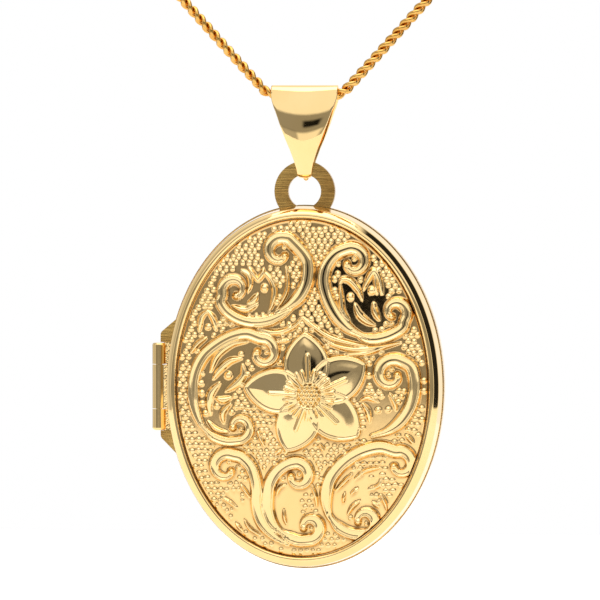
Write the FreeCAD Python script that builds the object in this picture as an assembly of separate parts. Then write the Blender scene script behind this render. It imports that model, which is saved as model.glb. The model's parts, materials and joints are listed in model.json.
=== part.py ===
import FreeCAD, Part
import math
import os

# Oval hinged locket hanging from a tapered bail on a stretch of curb chain. Millimetres.
# X to the right, Y to the back, Z up.
# The origin is on the chain's axis, in the middle of the bail's top bend.

# Case outline: an ellipse in the XZ plane. Every other oval is this one moved inwards by an inset.
CASE_HALF_WIDTH = 12.5
CASE_HALF_HEIGHT = 16.25
CASE_CENTRE_Z = -26.1

# Back half, listed from the seam towards the back
PLATE_FRONT_Y = -0.30
PLATE_BACK_Y = 0.30
PLATE_OPENING_INSET = 1.60
BACK_SHEET = 0.35
BACK_WALL_Y = 1.15
BACK_FACE_Y = 2.55
BACK_ROUND_INSET = 1.70
ROUND_STEPS = 6

# Snap rim that stands on the plate inside the front half
SNAP_OUTER_INSET = 1.00
SNAP_INNER_INSET = 1.25
SNAP_FRONT_Y = -1.25
NIB_HEIGHT = 0.05
NIB_RADIUS = 0.20
NIB_LENGTH = 2.4
NIB_Y = -0.85

# Front half, listed from the seam towards the front
SEAM_GAP = 0.03
FLANGE_INSET = 0.08
FLANGE_FRONT_Y = -0.52
SHOULDER_INSET = 0.50
SHOULDER_Y = -2.20
RIDGE_FRONT_Y = -2.56
RIDGE_INNER_INSET = 1.18
GROOVE_Y = -2.15
RIM_BORE_INSET = 0.92
LEDGE_BACK_Y = -1.50
LEDGE_FRONT_Y = -1.92
LEDGE_INSET = 2.00
PANEL_INSET = 1.22
PANEL_EDGE_Y = -2.24
PANEL_CROWN = 1.05
PANEL_STEPS = 6
PANEL_TOP_SHARE = 0.9

# Picture stack: tray, card, window and frame, the same in both halves
TRAY_OUTER_INSET = 1.60
TRAY_INNER_INSET = 1.85
TRAY_FLOOR = 0.25
CARD_INSET = 1.92
CARD_THICKNESS = 0.18
WINDOW_THICKNESS = 0.20
STACK_GAP = 0.02
FRAME_OUTER_INSET = 1.65
FRAME_INNER_INSET = 2.70
FRAME_THICKNESS = 0.28
FRONT_FRAME_Y = -0.40
BACK_FRAME_Y = -0.25

# Case hinge, at the left edge of the seam
HINGE_X = -13.13
HINGE_Y = PLATE_FRONT_Y - SEAM_GAP / 2
BARREL_RADIUS = 0.60
BARREL_TOP = 3.88
BARREL_BOTTOM = -3.96
END_KNUCKLE = 1.90
KNUCKLE_GAP = 0.05
BARREL_ROUND = 0.22
PIN_RADIUS = 0.28
PIN_CLEARANCE = 0.05
CRADLE_X = -12.70
MIDDLE_CUT_X = -12.43
LEAF_INNER_X = -11.9
LEAF_FRONT_Y = -0.74
WING_X = -13.0
WING_TOP = 6.15
WING_TOP_CORNER = 4.80
WING_BOTTOM_CORNER = -4.60
WING_BOTTOM = -6.25
WING_ROOT_X = -11.4
WING_FILLET = 0.5

# Hanging ring in the plane of the plate
RING_CENTRE_Z = -8.64
RING_OUTER = 2.715
RING_HOLE = 1.48

# Bail: one folded strip, a closed band seen from the side and a taper seen from the front
BAIL_CROWN_CENTRE_Z = -0.16
BAIL_CROWN_TILT = 25.0
BAIL_CROWN_OUTER = 0.98
BAIL_CROWN_INNER = 0.73
BAIL_BELLY_Z = -3.116
BAIL_BELLY_OUTER = 1.635
BAIL_BELLY_INNER = 1.385
BAIL_TOE_CENTRE_Z = -6.73
BAIL_TOE_OUTER = 0.77
BAIL_TOE_INNER = 0.57
BAIL_HALF_WIDTH = 3.0
BAIL_EDGE_END = (3.0, -0.2)
BAIL_EDGE_BEND = (2.985, -0.75)
BAIL_SHOULDER = (2.93, -1.25)
BAIL_SHOULDER_MID = (2.55, -2.30)
BAIL_TAPER_START = (2.02, -3.20)
BAIL_TAPER_MID = (1.24, -5.00)
BAIL_NECK = (0.66, -6.85)
BEAD_RADIUS = 0.24
BEAD_X = 0.1
BEAD_SINK = 0.03

# Chain, with the room that its links need
CHAIN_DIAMETER = 1.0
CHAIN_ROUTE = [
    (-12.30, 0.0, 9.90), (-4.05, 0.0, 0.72), (-3.25, 0.0, 0.06), (-2.35, 0.0, -0.04),
    (2.35, 0.0, -0.04), (3.25, 0.0, 0.06), (4.05, 0.0, 0.72), (12.30, 0.0, 9.90),
]
ARC_SHARE = 0.45

# Chain fittings, laid out along X from the end of the chain and then turned into line with it.
# The tag's two round ends are (centre, radius). Angles are in degrees round the clasp.
JUMP_RADIUS = 0.80
JUMP_WIRE = 0.17
JUMP_CENTRE = 0.65
LOOP_RADIUS = 0.55
LOOP_WIRE = 0.18
LOOP_CENTRE = 1.63
CLASP_RADIUS = 2.15
CLASP_TUBE = 0.45
CLASP_BORE = 0.31
CLASP_CENTRE = 4.90
CLASP_FLAT = 0.03
GAP_START = 20.0
GAP_END = 70.0
SOCKET_DEPTH = 8.0
BORE_END = 262.0
BOLT_RADIUS = 0.27
BOLT_START = 15.0
BOLT_END = 128.0
STUD_ANGLE = 79.0
STUD_RADIUS = 0.21
STUD_TOP = 0.95
KNOB_RADIUS = 0.29
SLOT_START = 72.0
SLOT_END = 134.0
SLOT_WIDTH = 0.50
SPRING_START = 178.0
SPRING_END = 260.0
SPRING_RADIUS = 0.24
TAG_THICKNESS = 0.40
TAG_SMALL = (1.62, 0.85)
TAG_SMALL_HOLE = 0.42
TAG_LARGE = (5.00, 1.75)
TAG_EYE_RADIUS = 1.10

# How far a cutting tool runs past what it cuts: wide where nothing else is near, narrow between close levels
OVERRUN = 1.0
NARROW_OVERRUN = 0.1
TINY = 1e-6
X_AXIS = FreeCAD.Vector(1, 0, 0)
Y_AXIS = FreeCAD.Vector(0, 1, 0)
Z_AXIS = FreeCAD.Vector(0, 0, 1)


def save(name, shape):
    """Write one node and print its volume, so that an empty or broken solid shows at once."""
    solids = shape.Solids
    body = solids[0] if len(solids) == 1 else Part.makeCompound(solids)
    body.exportStep("parts/" + name + ".step")
    print(f"{name}: {len(solids)} solid, {body.Volume:.4f} mm3, valid {body.isValid()}")


def oval_wire(inset, y):
    """The case outline moved inwards, at depth y."""
    centre = FreeCAD.Vector(0, y, CASE_CENTRE_Z)
    high = centre + FreeCAD.Vector(0, 0, CASE_HALF_HEIGHT - inset)
    side = centre + FreeCAD.Vector(CASE_HALF_WIDTH - inset, 0, 0)
    return Part.Wire(Part.Ellipse(high, side, centre).toShape())


def oval_stack(levels):
    """A solid through ovals, each given as (inset, y)."""
    return Part.makeLoft([oval_wire(inset, y) for inset, y in levels], True, True)


def oval_disc(inset, y_low, y_high):
    return oval_stack([(inset, y_low), (inset, y_high)])


def oval_ring(outer_inset, inner_inset, y_low, y_high):
    hole = oval_disc(inner_inset, y_low - OVERRUN, y_high + OVERRUN)
    return oval_disc(outer_inset, y_low, y_high).cut(hole)


def quarter_round(start_inset, start_y, end_inset, end_y, steps):
    """Levels on a quarter ellipse that leaves start along Y and reaches end across Y."""
    levels = []
    for step in range(steps + 1):
        angle = math.pi / 2 * step / steps
        inset = start_inset + (end_inset - start_inset) * (1 - math.cos(angle))
        y = start_y + (end_y - start_y) * math.sin(angle)
        levels.append((inset, y))
    return levels


def z_cylinder(radius, low, high):
    base = FreeCAD.Vector(HINGE_X, HINGE_Y, CASE_CENTRE_Z + low)
    return Part.makeCylinder(radius, high - low, base, Z_AXIS)


def y_cylinder(radius, y_low, y_high, x, z):
    return Part.makeCylinder(radius, y_high - y_low, FreeCAD.Vector(x, y_low, z), Y_AXIS)


def box(x_low, x_high, y_low, y_high, z_low, z_high):
    corner = FreeCAD.Vector(x_low, y_low, z_low)
    return Part.makeBox(x_high - x_low, y_high - y_low, z_high - z_low, corner)


def case_box(x_low, x_high, y_low, y_high, low, high):
    """A box whose low and high are heights above the middle of the case."""
    return box(x_low, x_high, y_low, y_high, CASE_CENTRE_Z + low, CASE_CENTRE_Z + high)


# Heights of the three hinge knuckles above the middle of the case
UPPER_KNUCKLE = (BARREL_TOP - END_KNUCKLE, BARREL_TOP)
LOWER_KNUCKLE = (BARREL_BOTTOM, BARREL_BOTTOM + END_KNUCKLE)
MIDDLE_KNUCKLE = (LOWER_KNUCKLE[1] + KNUCKLE_GAP, UPPER_KNUCKLE[0] - KNUCKLE_GAP)


def hinge_wings():
    """Flat web beside the barrel, wider than the oval, with sloping ends."""
    corners = [
        (WING_ROOT_X, WING_TOP), (WING_X, WING_TOP_CORNER),
        (WING_X, WING_BOTTOM_CORNER), (WING_ROOT_X, WING_BOTTOM),
    ]
    points = [FreeCAD.Vector(x, PLATE_FRONT_Y, CASE_CENTRE_Z + z) for x, z in corners]
    face = Part.Face(Part.makePolygon(points + points[:1]))
    web = face.extrude(FreeCAD.Vector(0, PLATE_BACK_Y - PLATE_FRONT_Y, 0))
    outer_edges = [e for e in web.Edges if e.BoundBox.XMax < WING_X + TINY]
    corner_edges = [e for e in outer_edges if e.BoundBox.YLength > TINY]
    return web.makeFillet(WING_FILLET, corner_edges)


def loop_plate():
    """Flat ring of the back half, in one piece with the hanging ring and the hinge web."""
    front, back = PLATE_FRONT_Y - OVERRUN, PLATE_BACK_Y + OVERRUN
    plate = oval_disc(0, PLATE_FRONT_Y, PLATE_BACK_Y).fuse(hinge_wings())
    plate = plate.fuse(y_cylinder(RING_OUTER, PLATE_FRONT_Y, PLATE_BACK_Y, 0, RING_CENTRE_Z))
    plate = plate.cut(oval_disc(PLATE_OPENING_INSET, front, back))
    plate = plate.cut(y_cylinder(RING_HOLE, front, back, 0, RING_CENTRE_Z))
    for edge_x, low, high in ((CRADLE_X, BARREL_BOTTOM, BARREL_TOP), (MIDDLE_CUT_X, *MIDDLE_KNUCKLE)):
        room = case_box(WING_X - OVERRUN, edge_x, front, back, low - KNUCKLE_GAP, high + KNUCKLE_GAP)
        plate = plate.cut(room)
    for knuckle in (LOWER_KNUCKLE, UPPER_KNUCKLE):
        plate = plate.cut(z_cylinder(BARREL_RADIUS, *knuckle))
    return plate


def back_cover():
    """Pressed shell with a straight wall, a rounded shoulder and a flat back."""
    inner_face_y = BACK_FACE_Y - BACK_SHEET
    outer = quarter_round(0, BACK_WALL_Y, BACK_ROUND_INSET, BACK_FACE_Y, ROUND_STEPS)
    inner = quarter_round(BACK_SHEET, BACK_WALL_Y, BACK_ROUND_INSET, inner_face_y, ROUND_STEPS)
    shell = oval_stack([(0, PLATE_BACK_Y)] + outer)
    return shell.cut(oval_stack([(BACK_SHEET, PLATE_BACK_Y - OVERRUN)] + inner))


def snap_rim():
    """Thin upright wall on the plate, with the nib that grips the front half."""
    rim = oval_ring(SNAP_OUTER_INSET, SNAP_INNER_INSET, SNAP_FRONT_Y, PLATE_FRONT_Y)
    side = CASE_HALF_WIDTH - SNAP_OUTER_INSET
    base = FreeCAD.Vector(side + NIB_HEIGHT - NIB_RADIUS, NIB_Y, CASE_CENTRE_Z - NIB_LENGTH / 2)
    nib = Part.makeCylinder(NIB_RADIUS, NIB_LENGTH, base)
    keep = case_box(side - NIB_RADIUS, side + OVERRUN, SNAP_FRONT_Y, 0, -NIB_LENGTH, NIB_LENGTH)
    return rim.fuse(nib.common(keep))


def front_rim():
    """Frame of the front half: flange, sloping wall, rounded ridge, groove and a ledge for the panel."""
    crest_inset = (SHOULDER_INSET + RIDGE_INNER_INSET) / 2
    rise = quarter_round(SHOULDER_INSET, SHOULDER_Y, crest_inset, RIDGE_FRONT_Y, ROUND_STEPS)
    fall = quarter_round(RIDGE_INNER_INSET, GROOVE_Y, crest_inset, RIDGE_FRONT_Y, ROUND_STEPS)
    seam = PLATE_FRONT_Y - SEAM_GAP
    shell = oval_stack([(FLANGE_INSET, seam), (FLANGE_INSET, FLANGE_FRONT_Y)] + rise)
    dish = oval_stack([(RIDGE_INNER_INSET, GROOVE_Y)] + fall[1:])
    pocket = oval_disc(RIDGE_INNER_INSET, LEDGE_FRONT_Y, GROOVE_Y)
    bore = oval_disc(RIM_BORE_INSET, seam + OVERRUN, LEDGE_BACK_Y)
    window = oval_disc(LEDGE_INSET, LEDGE_BACK_Y + NARROW_OVERRUN, LEDGE_FRONT_Y - NARROW_OVERRUN)
    return shell.cut(dish).cut(pocket).cut(bore).cut(window)


def front_panel():
    """Domed oval plate set inside the ridge."""
    outer = [(PANEL_INSET, LEDGE_FRONT_Y), (PANEL_INSET, PANEL_EDGE_Y)]
    inner = [(LEDGE_INSET, LEDGE_FRONT_Y + NARROW_OVERRUN), (LEDGE_INSET, LEDGE_FRONT_Y)]
    for step in range(1, PANEL_STEPS + 1):
        share = PANEL_TOP_SHARE * step / PANEL_STEPS
        rise = PANEL_CROWN * (1 - (1 - share) ** 2)
        outer.append((PANEL_INSET + (CASE_HALF_WIDTH - PANEL_INSET) * share, PANEL_EDGE_Y - rise))
        inner.append((LEDGE_INSET + (CASE_HALF_WIDTH - LEDGE_INSET) * share, LEDGE_FRONT_Y - rise))
    return oval_stack(outer).cut(oval_stack(inner))


def barrel_tube(low, high, bore):
    return z_cylinder(BARREL_RADIUS, low, high).cut(z_cylinder(bore, low - OVERRUN, high + OVERRUN))


def round_end(tube, level):
    """Round the outer edge of a knuckle at its free end."""
    circles = [e for e in tube.Edges if e.Curve.TypeId == "Part::GeomCircle"]
    outer = [e for e in circles if e.Curve.Radius > BARREL_RADIUS - TINY]
    rim = [e for e in outer if abs(e.Curve.Center.z - CASE_CENTRE_Z - level) < TINY]
    return tube.makeFillet(BARREL_ROUND, rim)


def back_hinge_knuckles():
    upper = round_end(barrel_tube(*UPPER_KNUCKLE, PIN_RADIUS), UPPER_KNUCKLE[1])
    lower = round_end(barrel_tube(*LOWER_KNUCKLE, PIN_RADIUS), LOWER_KNUCKLE[0])
    return Part.makeCompound([upper, lower])


def front_hinge_knuckle():
    """Middle knuckle with the leaf that joins it to the front rim."""
    low, high = MIDDLE_KNUCKLE
    seam = PLATE_FRONT_Y - SEAM_GAP
    leaf = case_box(HINGE_X, LEAF_INNER_X, LEAF_FRONT_Y, seam, low, high)
    bore = z_cylinder(PIN_RADIUS + PIN_CLEARANCE, low - OVERRUN, high + OVERRUN)
    knuckle = z_cylinder(BARREL_RADIUS, low, high).fuse(leaf).cut(bore)
    rim = [(FLANGE_INSET, seam + OVERRUN), (FLANGE_INSET, FLANGE_FRONT_Y), (SHOULDER_INSET, SHOULDER_Y)]
    return knuckle.cut(oval_stack(rim)).removeSplitter()


def between(first, second):
    return min(first, second), max(first, second)


def picture_stack(frame_face_y, direction):
    """Frame, window, card and tray. The stack goes to the back (+1) or to the front (-1)."""
    frame_end = frame_face_y + direction * FRAME_THICKNESS
    window_start = frame_end + direction * STACK_GAP
    window_end = window_start + direction * WINDOW_THICKNESS
    card_start = window_end + direction * STACK_GAP
    card_end = card_start + direction * CARD_THICKNESS
    floor_start = card_end + direction * STACK_GAP
    floor_end = floor_start + direction * TRAY_FLOOR
    frame = oval_ring(FRAME_OUTER_INSET, FRAME_INNER_INSET, *between(frame_face_y, frame_end))
    window = oval_disc(CARD_INSET, *between(window_start, window_end))
    card = oval_disc(CARD_INSET, *between(card_start, card_end))
    tray = oval_disc(TRAY_OUTER_INSET, *between(frame_end, floor_end))
    tray = tray.cut(oval_disc(TRAY_INNER_INSET, *between(frame_end - direction, floor_start)))
    return {"photo_frame": frame, "photo_window": window, "photo_card": card, "photo_tray": tray}


def bail_profile(crown_radius, belly, toe_radius):
    """Closed side outline: a small round crown, long bowed leaves and a small round toe."""
    tilt = math.radians(BAIL_CROWN_TILT)
    crown_y = crown_radius * math.cos(tilt)
    crown_z = BAIL_CROWN_CENTRE_Z + crown_radius * math.sin(tilt)

    def point(y, z):
        return FreeCAD.Vector(-BAIL_HALF_WIDTH - OVERRUN, y, z)

    points = [
        point(-crown_y, crown_z), point(0, BAIL_CROWN_CENTRE_Z + crown_radius),
        point(crown_y, crown_z), point(belly, BAIL_BELLY_Z),
        point(toe_radius, BAIL_TOE_CENTRE_Z), point(0, BAIL_TOE_CENTRE_Z - toe_radius),
        point(-toe_radius, BAIL_TOE_CENTRE_Z), point(-belly, BAIL_BELLY_Z),
        point(-crown_y, crown_z),
    ]
    edges = [Part.Arc(*points[first:first + 3]).toShape() for first in (0, 2, 4, 6)]
    return Part.Face(Part.Wire(edges)).extrude(X_AXIS * 2 * (BAIL_HALF_WIDTH + OVERRUN))


def bail_outline():
    """Front outline of the bail as a solid: square top, rounded shoulders, taper and round toe."""
    depth = BAIL_BELLY_OUTER + OVERRUN

    def point(pair, side=1):
        return FreeCAD.Vector(side * pair[0], -depth, pair[1])

    top = BAIL_CROWN_CENTRE_Z + BAIL_CROWN_OUTER + OVERRUN
    toe = FreeCAD.Vector(0, -depth, BAIL_TOE_CENTRE_Z - BAIL_TOE_OUTER - NARROW_OVERRUN)
    corner = (BAIL_HALF_WIDTH, top)
    right = [
        Part.LineSegment(point(corner), point(BAIL_EDGE_END)).toShape(),
        Part.Arc(point(BAIL_EDGE_END), point(BAIL_EDGE_BEND), point(BAIL_SHOULDER)).toShape(),
        Part.Arc(point(BAIL_SHOULDER), point(BAIL_SHOULDER_MID), point(BAIL_TAPER_START)).toShape(),
        Part.Arc(point(BAIL_TAPER_START), point(BAIL_TAPER_MID), point(BAIL_NECK)).toShape(),
    ]
    left = [edge.mirror(FreeCAD.Vector(0, 0, 0), X_AXIS) for edge in reversed(right)]
    round_toe = Part.Arc(point(BAIL_NECK), toe, point(BAIL_NECK, -1)).toShape()
    lid = Part.LineSegment(point(corner, -1), point(corner)).toShape()
    wire = Part.Wire(Part.__sortEdges__(right + [round_toe] + left + [lid]))
    return Part.Face(wire).extrude(FreeCAD.Vector(0, 2 * depth, 0))


def bail():
    band = bail_profile(BAIL_CROWN_OUTER, BAIL_BELLY_OUTER, BAIL_TOE_OUTER)
    band = band.cut(bail_profile(BAIL_CROWN_INNER, BAIL_BELLY_INNER, BAIL_TOE_INNER))
    return band.common(bail_outline())


def bail_solder_bead(bail_shape):
    centre = FreeCAD.Vector(BEAD_X, 0, BAIL_TOE_CENTRE_Z - BAIL_TOE_OUTER + BEAD_SINK)
    filled = bail_profile(BAIL_CROWN_OUTER, BAIL_BELLY_OUTER, BAIL_TOE_OUTER)
    return Part.makeSphere(BEAD_RADIUS, centre).cut(filled).cut(bail_shape)


def rounded_path(points):
    """Straight runs joined by tangent arcs, and the arcs' radii."""
    points = [FreeCAD.Vector(*p) for p in points]
    edges, radii = [], []
    start = points[0]
    for before, corner, after in zip(points, points[1:], points[2:]):
        back = (before - corner).normalize()
        ahead = (after - corner).normalize()
        shorter = min((before - corner).Length, (after - corner).Length)
        cut = ARC_SHARE * shorter
        half_turn = (math.pi - back.getAngle(ahead)) / 2
        radius = cut / math.tan(half_turn)
        middle = (back + ahead).normalize()
        arc_mid = corner + middle * (radius / math.cos(half_turn) - radius)
        edges.append(Part.LineSegment(start, corner + back * cut).toShape())
        edges.append(Part.Arc(corner + back * cut, arc_mid, corner + ahead * cut).toShape())
        radii.append(radius)
        start = corner + ahead * cut
    edges.append(Part.LineSegment(start, points[-1]).toShape())
    return Part.Wire(edges), radii


def chain():
    """The chain's outer form: a plain round tube along its route."""
    path, radii = rounded_path(CHAIN_ROUTE)
    start = FreeCAD.Vector(*CHAIN_ROUTE[0])
    heading = (FreeCAD.Vector(*CHAIN_ROUTE[1]) - start).normalize()
    circle = Part.Wire(Part.makeCircle(CHAIN_DIAMETER / 2, start, heading))
    tube = path.makePipeShell([circle], True, False)
    expected = math.pi * CHAIN_DIAMETER ** 2 / 4 * path.Length
    print("chain radii", [round(r, 2) for r in radii])
    print(f"chain length {path.Length:.3f}")
    print(f"chain volume {tube.Volume:.4f}, section times length {expected:.4f}")
    return tube


def chain_end_matrix(side):
    """Turns the fittings' X into line with one arm of the chain: left for side -1, right for side +1."""
    index = 0 if side < 0 else -1
    tip = FreeCAD.Vector(*CHAIN_ROUTE[index])
    inner = FreeCAD.Vector(*CHAIN_ROUTE[1 if side < 0 else -2])
    along = (tip - inner).normalize()
    out = Y_AXIS if side < 0 else Y_AXIS * -1
    up = out.cross(along)
    return FreeCAD.Matrix(
        along.x, up.x, out.x, tip.x,
        along.y, up.y, out.y, tip.y,
        along.z, up.z, out.z, tip.z,
        0, 0, 0, 1)


def placed(shape, side):
    return shape.transformed(chain_end_matrix(side))


def torus_arc(major, minor, centre_x, start, end):
    """Part of a torus in the XY plane, between two angles in degrees."""
    arc = Part.makeTorus(major, minor, FreeCAD.Vector(0, 0, 0), Z_AXIS, 0, 360, end - start)
    arc.rotate(FreeCAD.Vector(0, 0, 0), Z_AXIS, start)
    arc.translate(FreeCAD.Vector(centre_x, 0, 0))
    return arc


def jump_ring():
    return Part.makeTorus(JUMP_RADIUS, JUMP_WIRE, FreeCAD.Vector(JUMP_CENTRE, 0, 0), Y_AXIS)


def clasp_ring():
    """Hollow ring, flattened inside, with the gap, the bore for the bolt and the slot for its stud."""
    ring = torus_arc(CLASP_RADIUS, CLASP_TUBE, CLASP_CENTRE, GAP_END, 360 + GAP_START)
    for bore_start, bore_end in ((GAP_END - 1, BORE_END), (GAP_START - SOCKET_DEPTH, GAP_START + 1)):
        ring = ring.cut(torus_arc(CLASP_RADIUS, CLASP_BORE, CLASP_CENTRE, bore_start, bore_end))
    below = FreeCAD.Vector(0, 0, -OVERRUN)
    base = FreeCAD.Vector(0, 0, -SLOT_WIDTH / 2)
    slot = Part.makeCylinder(CLASP_RADIUS + OVERRUN, SLOT_WIDTH, base, Z_AXIS, SLOT_END - SLOT_START)
    slot = slot.cut(Part.makeCylinder(CLASP_RADIUS, 2 * OVERRUN, below))
    slot.rotate(FreeCAD.Vector(0, 0, 0), Z_AXIS, SLOT_START)
    slot.translate(FreeCAD.Vector(CLASP_CENTRE, 0, 0))
    inside = CLASP_RADIUS - CLASP_TUBE + CLASP_FLAT
    flat = Part.makeCylinder(inside, 2 * OVERRUN, below + FreeCAD.Vector(CLASP_CENTRE, 0, 0))
    return ring.cut(slot).cut(flat)


def clasp_loop():
    loop = Part.makeTorus(LOOP_RADIUS, LOOP_WIRE, FreeCAD.Vector(LOOP_CENTRE, 0, 0), Z_AXIS)
    return loop.cut(Part.makeTorus(CLASP_RADIUS, CLASP_TUBE, FreeCAD.Vector(CLASP_CENTRE, 0, 0), Z_AXIS))


def clasp_bolt():
    """Curved bolt that closes the gap, with the stud that a thumbnail pulls back."""
    bolt = torus_arc(CLASP_RADIUS, BOLT_RADIUS, CLASP_CENTRE, BOLT_START, BOLT_END)
    stud = Part.makeCylinder(STUD_RADIUS, STUD_TOP, FreeCAD.Vector(CLASP_RADIUS, 0, 0), X_AXIS)
    knob = Part.makeSphere(KNOB_RADIUS, FreeCAD.Vector(CLASP_RADIUS + STUD_TOP, 0, 0))
    stud = stud.fuse(knob)
    stud.rotate(FreeCAD.Vector(0, 0, 0), Z_AXIS, STUD_ANGLE)
    stud.translate(FreeCAD.Vector(CLASP_CENTRE, 0, 0))
    return bolt.fuse(stud)


def clasp_spring():
    return torus_arc(CLASP_RADIUS, SPRING_RADIUS, CLASP_CENTRE, SPRING_START, SPRING_END)


def end_tag():
    """Flat tag with a small hole for the jump ring and a large eye for the clasp."""
    low = -TAG_THICKNESS / 2

    def disc(x, radius):
        return Part.makeCylinder(radius, TAG_THICKNESS, FreeCAD.Vector(x, 0, low), Z_AXIS)

    lean = math.asin((TAG_LARGE[1] - TAG_SMALL[1]) / (TAG_LARGE[0] - TAG_SMALL[0]))
    corners = []
    for sign, ends in ((1, (TAG_SMALL, TAG_LARGE)), (-1, (TAG_LARGE, TAG_SMALL))):
        for x, radius in ends:
            corners.append(FreeCAD.Vector(x - radius * math.sin(lean), sign * radius * math.cos(lean), low))
    web = Part.Face(Part.makePolygon(corners + corners[:1])).extrude(FreeCAD.Vector(0, 0, TAG_THICKNESS))
    tag = web.fuse(disc(*TAG_SMALL)).fuse(disc(*TAG_LARGE))
    tag = tag.removeSplitter()
    for radius, x in ((TAG_SMALL_HOLE, TAG_SMALL[0]), (TAG_EYE_RADIUS, TAG_LARGE[0])):
        hole = Part.makeCylinder(radius, 2 * OVERRUN, FreeCAD.Vector(x, 0, -OVERRUN), Z_AXIS)
        tag = tag.cut(hole)
    return tag


def build():
    os.makedirs("parts", exist_ok=True)
    save("loop_plate", loop_plate())
    save("back_cover", back_cover())
    save("snap_rim", snap_rim())
    save("back_hinge_knuckles", back_hinge_knuckles())
    save("hinge_pin", z_cylinder(PIN_RADIUS, BARREL_BOTTOM, BARREL_TOP))
    save("front_rim", front_rim())
    save("front_panel", front_panel())
    save("front_hinge_knuckle", front_hinge_knuckle())
    for half, frame_y, direction in (("back", BACK_FRAME_Y, 1), ("front", FRONT_FRAME_Y, -1)):
        for name, shape in picture_stack(frame_y, direction).items():
            save(half + "_" + name, shape)
    bail_shape = bail()
    save("bail", bail_shape)
    save("bail_solder_bead", bail_solder_bead(bail_shape))
    save("chain", chain())
    save("left_jump_ring", placed(jump_ring(), -1))
    save("right_jump_ring", placed(jump_ring(), 1))
    save("clasp_ring", placed(clasp_ring(), -1))
    save("clasp_loop", placed(clasp_loop(), -1))
    save("clasp_bolt", placed(clasp_bolt(), -1))
    save("clasp_spring", placed(clasp_spring(), -1))
    save("end_tag", placed(end_tag(), 1))
    print("clasp centre", chain_end_matrix(-1).multVec(FreeCAD.Vector(CLASP_CENTRE, 0, 0)))
    print("tag eye", chain_end_matrix(1).multVec(FreeCAD.Vector(TAG_LARGE[0], 0, 0)))


build()
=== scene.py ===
"""Oval gold locket on a taut stretch of curb chain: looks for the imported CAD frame.

Lengths are in millimetres up to the moment a mesh is made, and then in metres.
X to the right, Y to the back, Z up. The origin is where the chain crosses the bail.
"""

import json
import math

import bpy
import numpy as np
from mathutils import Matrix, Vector


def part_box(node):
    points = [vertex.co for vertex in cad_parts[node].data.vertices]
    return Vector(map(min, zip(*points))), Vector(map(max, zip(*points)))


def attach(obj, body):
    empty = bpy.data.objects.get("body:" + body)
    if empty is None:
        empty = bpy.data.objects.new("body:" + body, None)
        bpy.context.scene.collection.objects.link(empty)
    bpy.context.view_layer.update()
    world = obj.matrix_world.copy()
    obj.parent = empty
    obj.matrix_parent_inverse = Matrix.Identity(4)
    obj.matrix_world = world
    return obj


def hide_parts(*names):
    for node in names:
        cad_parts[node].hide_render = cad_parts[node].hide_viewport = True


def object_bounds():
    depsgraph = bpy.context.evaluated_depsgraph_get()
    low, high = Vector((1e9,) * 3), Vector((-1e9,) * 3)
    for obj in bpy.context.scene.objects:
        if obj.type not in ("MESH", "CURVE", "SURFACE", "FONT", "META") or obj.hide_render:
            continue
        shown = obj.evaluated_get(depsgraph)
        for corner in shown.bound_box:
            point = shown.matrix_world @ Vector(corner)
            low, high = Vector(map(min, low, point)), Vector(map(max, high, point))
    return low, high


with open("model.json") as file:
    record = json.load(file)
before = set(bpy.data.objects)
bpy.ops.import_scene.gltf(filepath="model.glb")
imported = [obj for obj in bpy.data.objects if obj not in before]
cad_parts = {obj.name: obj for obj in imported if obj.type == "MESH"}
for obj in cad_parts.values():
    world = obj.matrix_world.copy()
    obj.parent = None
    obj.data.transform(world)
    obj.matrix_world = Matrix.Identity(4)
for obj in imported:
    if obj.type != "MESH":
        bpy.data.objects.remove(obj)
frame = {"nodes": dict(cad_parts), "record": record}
cad_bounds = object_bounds()

MM = 0.001
RANDOM = np.random.default_rng(7)

# Camera: a long lens, turned a little to the right of the locket and a little above it
VIEW_TARGET = (-0.45, 0.0, -18.36)
VIEW_AZIMUTH = 7.0
VIEW_ELEVATION = 2.2
VIEW_DISTANCE = 450.0
VIEW_WIDTH = 53.6
SENSOR_WIDTH = 36.0
CLIP_RANGE = (10.0, 20000.0)

# Stage
FLOOR_DROP = 14.0
FLOOR_SIZE = 400.0
FLOOR_GLOW = 0.26
WHITE = (0.93, 0.93, 0.92)
TOP_LIGHT_PLACE = (0, -150, 700)
TOP_LIGHT_AIM = (0, 0, -30)
TOP_LIGHT_SIZE = 700.0
TOP_LIGHT_POWER = 2.0

# The light tent: white all round, with greys and blacks where its openings and flags are.
# Each opening is (azimuth from, to, elevation from, to, edge, how much light it takes away), in degrees.
# Azimuth 0 is the side that the front faces, and 90 is to the right.
TENT_LEVEL = 1.36
TENT_OPENINGS = [
    (-58.0, 62.0, -5.0, 18.5, 2.0, 0.70),
    (-7.0, 8.5, 2.0, 10.5, 2.0, 0.97),
    (76.0, 114.0, -50.0, 60.0, 3.0, 0.98),
    (-110.0, -70.0, -60.0, 70.0, 10.0, 0.52),
    (114.0, 136.0, -50.0, 60.0, 6.0, 0.52),
    (-160.0, -125.0, -10.0, 50.0, 8.0, 0.62),
    (14.0, 64.0, -20.0, -4.0, 2.5, 0.60),
    (-62.0, -15.0, -20.0, -4.0, 2.5, 0.55),
]

# Chain: the route's points are the CAD tube's
CHAIN_ROUTE = [
    (-12.30, 0.0, 9.90), (-4.05, 0.0, 0.72), (-3.25, 0.0, 0.06), (-2.35, 0.0, -0.04),
    (2.35, 0.0, -0.04), (3.25, 0.0, 0.06), (4.05, 0.0, 0.72), (12.30, 0.0, 9.90),
]
LINK_PITCH = 0.955
LINK_WIRE = 0.20
LINK_HALF_WIDTH = 0.36
LINK_TWIST = 74.0
LINK_CUT_WIDTH = 0.56
LINK_CUT_DEPTH = 0.46
LEFT_ROLL = 58.0
RIGHT_ROLL = 66.0
LINK_BOW = 0.8
LINK_STEPS = 28
LINK_SIDES = 10
TANGENT_REACH = 0.2

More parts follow.
